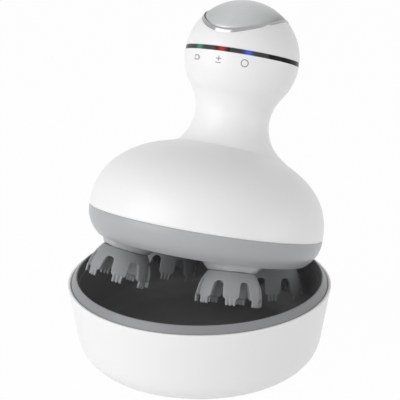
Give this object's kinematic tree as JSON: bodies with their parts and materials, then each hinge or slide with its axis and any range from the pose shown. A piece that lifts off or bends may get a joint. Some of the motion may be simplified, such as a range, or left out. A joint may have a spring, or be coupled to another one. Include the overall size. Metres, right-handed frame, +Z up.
{
  "type": "electric scalp massager",
  "caption": "Hand-held scalp massager with a ball-topped neck, rotating silicone claw heads on a domed body and a press button, leaning in a round charging dock.",
  "frame": {"origin": "centre of the dock's foot, on the surface it stands on", "axes": "+Z up, -Y towards the front of the dock, +X to the right seen from the front"},
  "size_m": [0.1184, 0.1214, 0.157],
  "materials": {
    "white_shell": "satin gloss moulded ABS",
    "grey_housing": "fine satin moulded ABS",
    "grey_rim": "fine satin moulded ABS",
    "dark_liner": "matt moulded ABS",
    "dark_plastic": "matt moulded plastic",
    "black_band": "smoked glossy acrylic",
    "chrome_bezel": "bright plated",
    "brushed_cap": "brushed",
    "led": "diffusing",
    "circuit_board": "solder mask",
    "cell_sleeve": "shrink sleeve",
    "grey_silicone": "soft matt silicone",
    "nylon": "moulded nylon",
    "steel": "ground",
    "brass": "turned",
    "black_rubber": "matt"
  },
  "bodies": {
    "dock": {"dock_shell": "white_shell", "dock_rim": "grey_rim", "dock_liner": "dark_liner", "base_cover": "dark_plastic", "foot_pad": "black_rubber", "dock_screws": "steel", "contact_post": "dark_liner", "dock_contacts": "brass", "charge_board": "circuit_board", "charge_inlet": "dark_plastic"},
    "massager": {"upper_housing": "white_shell", "handle_neck": "white_shell", "knob_shell": "white_shell", "display_band": "black_band", "indicator_lights": "led", "button_bezel": "chrome_bezel", "control_board": "circuit_board", "button_switch": "dark_plastic", "battery_cell": "cell_sleeve", "gearbox_plate": "nylon", "motor": "steel", "housing_seal": "black_rubber", "lower_housing": "grey_housing", "housing_screws": "steel", "drive_axle": "steel", "charge_contacts": "brass", "shaft_bushes": "brass", "shaft_seals": "black_rubber"},
    "button": {"top_button": "brushed_cap", "switch_plunger": "dark_plastic"},
    "drive": {"drive_gear": "nylon"},
    "rotor": {"motor_pinion": "brass", "motor_shaft": "steel"},
    "head_front_right": {"claw_head_front_right": "grey_silicone", "claw_hub_front_right": "nylon", "head_gear_front_right": "nylon", "head_shaft_front_right": "steel"},
    "head_back_right": {"claw_head_back_right": "grey_silicone", "claw_hub_back_right": "nylon", "head_gear_back_right": "nylon", "head_shaft_back_right": "steel"},
    "head_back_left": {"claw_head_back_left": "grey_silicone", "claw_hub_back_left": "nylon", "head_gear_back_left": "nylon", "head_shaft_back_left": "steel"},
    "head_front_left": {"claw_head_front_left": "grey_silicone", "claw_hub_front_left": "nylon", "head_gear_front_left": "nylon", "head_shaft_front_left": "steel"}
  },
  "joints": [
    {"name": "lift", "type": "slide", "parent": "dock", "child": "massager", "axis": [0, 0, 1], "range_m": [0, 0.12]},
    {"name": "button_press", "type": "slide", "parent": "massager", "child": "button", "axis": [-0.1611, -0.2598, -0.9521], "range_m": [0, 0.0008], "stiffness_N_per_m": 1500},
    {"name": "drive_spin", "type": "hinge", "parent": "massager", "child": "drive", "pos_m": [0.00171, 0.00507, 0.0555], "axis": [0.1611, 0.2598, 0.9521], "continuous": true},
    {"name": "motor_spin", "type": "hinge", "parent": "massager", "child": "rotor", "pos_m": [-0.00481, -0.0104, 0.06607], "axis": [0.1611, 0.2598, 0.9521], "continuous": true},
    {"name": "spin_front_right", "type": "hinge", "parent": "massager", "child": "head_front_right", "pos_m": [0.01473, -0.0266, 0.06196], "axis": [0.1075, 0.3838, 0.9171], "continuous": true},
    {"name": "spin_back_right", "type": "hinge", "parent": "massager", "child": "head_back_right", "pos_m": [0.03355, 0.01644, 0.04703], "axis": [0.0324, 0.2119, 0.9768], "continuous": true},
    {"name": "spin_back_left", "type": "hinge", "parent": "massager", "child": "head_back_left", "pos_m": [-0.01131, 0.03675, 0.04908], "axis": [0.2115, 0.1308, 0.9686], "continuous": true},
    {"name": "spin_front_left", "type": "hinge", "parent": "massager", "child": "head_front_left", "pos_m": [-0.03012, -0.00628, 0.06401], "axis": [0.2867, 0.3026, 0.909], "continuous": true}
  ],
  "couplings": [
    {"joint": "motor_spin", "follows": "drive_spin", "ratio": -3},
    {"joint": "spin_front_right", "follows": "drive_spin", "ratio": -3.75},
    {"joint": "spin_back_right", "follows": "drive_spin", "ratio": -3.75},
    {"joint": "spin_back_left", "follows": "drive_spin", "ratio": -3.75},
    {"joint": "spin_front_left", "follows": "drive_spin", "ratio": -3.75}
  ]
}
